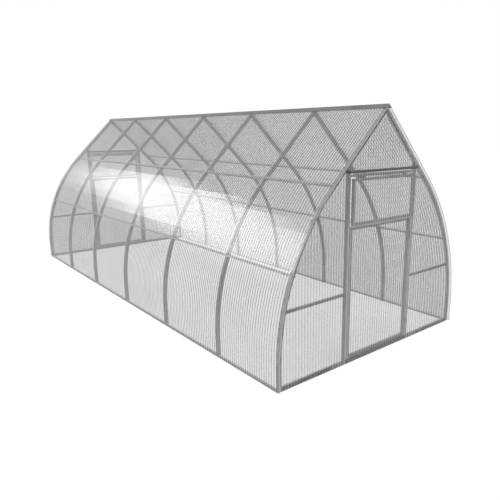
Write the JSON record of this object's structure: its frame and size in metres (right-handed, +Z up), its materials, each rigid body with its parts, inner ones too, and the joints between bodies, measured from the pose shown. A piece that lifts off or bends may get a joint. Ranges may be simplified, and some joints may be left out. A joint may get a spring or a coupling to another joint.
{
  "type": "dome greenhouse",
  "caption": "Pointed-arch tunnel greenhouse: bent steel tube arches and purlins under clear fluted sheets, with a hinged door and a fixed vent leaf in each end wall.",
  "frame": {"origin": "middle of the plan, on the ground", "axes": "+Z up, +Y along the ridge from the front end towards the back end, +X to the right seen from the front"},
  "size_m": [2.4126, 6.034, 2.2304],
  "materials": {
    "galvanised_tube": "dull galvanised, slightly mottled",
    "dark_trim": "satin grey coated sheet steel",
    "clear_sheet": "clear glossy fluted polycarbonate, 32 mm flutes"
  },
  "bodies": {
    "frame": {"base_rail_left": "galvanised_tube", "base_rail_right": "galvanised_tube", "purlins_left": "galvanised_tube", "purlins_right": "galvanised_tube", "ridge_purlin": "galvanised_tube", "front_arch": "galvanised_tube", "inner_arch_1": "galvanised_tube", "inner_arch_2": "galvanised_tube", "inner_arch_3": "galvanised_tube", "inner_arch_4": "galvanised_tube", "inner_arch_5": "galvanised_tube", "back_arch": "galvanised_tube", "left_sheet_front": "clear_sheet", "left_sheet_middle": "clear_sheet", "left_sheet_back": "clear_sheet", "right_sheet_front": "clear_sheet", "right_sheet_middle": "clear_sheet", "right_sheet_back": "clear_sheet", "ridge_cap": "dark_trim", "front_sill": "galvanised_tube", "front_posts": "galvanised_tube", "front_header": "galvanised_tube", "front_mid_rails": "galvanised_tube", "front_side_sheets": "clear_sheet", "front_gable_sheet": "clear_sheet", "front_drip_trim": "dark_trim", "front_vent_frame": "galvanised_tube", "front_vent_sheet": "clear_sheet", "front_hinge_pins": "galvanised_tube", "back_sill": "galvanised_tube", "back_posts": "galvanised_tube", "back_header": "galvanised_tube", "back_mid_rails": "galvanised_tube", "back_side_sheets": "clear_sheet", "back_gable_sheet": "clear_sheet", "back_drip_trim": "dark_trim", "back_vent_frame": "galvanised_tube", "back_vent_sheet": "clear_sheet", "back_hinge_pins": "galvanised_tube"},
    "front_door": {"front_door_frame": "galvanised_tube", "front_door_sheet": "clear_sheet", "front_hinge_sleeves": "galvanised_tube"},
    "back_door": {"back_door_frame": "galvanised_tube", "back_door_sheet": "clear_sheet", "back_hinge_sleeves": "galvanised_tube"}
  },
  "joints": [
    {"name": "front_door_hinge", "type": "hinge", "parent": "frame", "child": "front_door", "pos_m": [0.417, -2.983, 0.6], "axis": [0, 0, 1], "range_deg": [0, 110]},
    {"name": "back_door_hinge", "type": "hinge", "parent": "frame", "child": "back_door", "pos_m": [-0.417, 2.983, 0.6], "axis": [0, 0, 1], "range_deg": [0, 110]}
  ]
}
